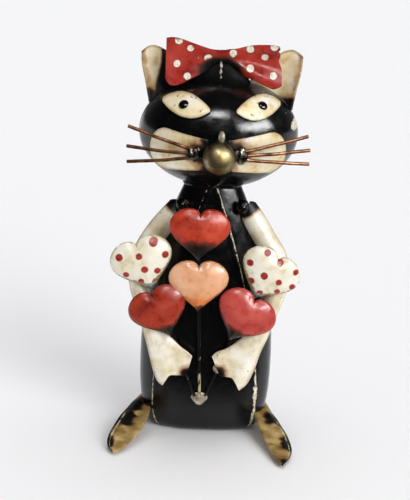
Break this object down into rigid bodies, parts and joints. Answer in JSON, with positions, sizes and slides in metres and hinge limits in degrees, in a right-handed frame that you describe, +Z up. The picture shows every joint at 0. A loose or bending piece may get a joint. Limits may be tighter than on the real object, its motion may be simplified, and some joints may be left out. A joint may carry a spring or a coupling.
{
  "type": "metal cat figure",
  "caption": "Free-standing painted sheet-metal cat with a dotted bow, ball nose and wire whiskers, holding a bouquet of puffed metal hearts on rod stems.",
  "frame": {"origin": "middle of the flat base, on the surface the figure stands on", "axes": "+Z up, the cat faces -Y, +X to the viewer's right"},
  "size_m": [0.0937, 0.1062, 0.197],
  "materials": {
    "black_paint": "glossy black enamel with fine scratches and chips",
    "cream_paint": "cream enamel scorched brown and black near the welds",
    "red_paint": "glossy red enamel",
    "dotted_red_paint": "glossy red enamel with round white dots",
    "dotted_cream_paint": "cream enamel with round red dots",
    "peach_paint": "glossy peach enamel",
    "rose_paint": "glossy rose enamel",
    "copper_wire": "copper-coated steel rod",
    "brass_ball": "antique brass, mottled",
    "weld_metal": "lumpy weld, partly painted",
    "black_weld": "lumpy weld under glossy black enamel",
    "stem_rod": "dark oxidised steel rod"
  },
  "bodies": {
    "root": {"front_panel": "black_paint", "side_shell_left": "black_paint", "side_shell_right": "black_paint", "base_plate": "black_paint", "neck_weld": "black_weld", "head_front": "black_paint", "head_back": "black_paint", "ear_left": "cream_paint", "ear_right": "cream_paint", "bow": "dotted_red_paint", "bow_weld": "black_weld", "eye_left": "cream_paint", "eye_right": "cream_paint", "pupil_left": "black_paint", "pupil_right": "black_paint", "cheek_left": "cream_paint", "cheek_right": "cream_paint", "nose_ball": "brass_ball", "nose_weld": "weld_metal", "whisker_weld_left": "weld_metal", "whisker_weld_right": "weld_metal", "whisker_left_top": "copper_wire", "whisker_left_middle": "copper_wire", "whisker_left_bottom": "copper_wire", "whisker_right_top": "copper_wire", "whisker_right_middle": "copper_wire", "whisker_right_bottom": "copper_wire", "arm_left": "cream_paint", "arm_right": "cream_paint", "shoulder_weld_left": "black_weld", "shoulder_weld_right": "black_weld", "stem_left": "stem_rod", "stem_centre": "stem_rod", "stem_right": "stem_rod", "bouquet_weld": "weld_metal", "hand_weld_left": "weld_metal", "hand_weld_right": "weld_metal", "heart_top_red": "red_paint", "heart_peach": "peach_paint", "heart_lower_red": "red_paint", "heart_rose": "rose_paint", "heart_dotted_left": "dotted_cream_paint", "heart_dotted_right": "dotted_cream_paint", "foot_left": "cream_paint", "foot_right": "cream_paint", "tail": "cream_paint", "tail_weld": "black_weld"}
  },
  "joints": []
}
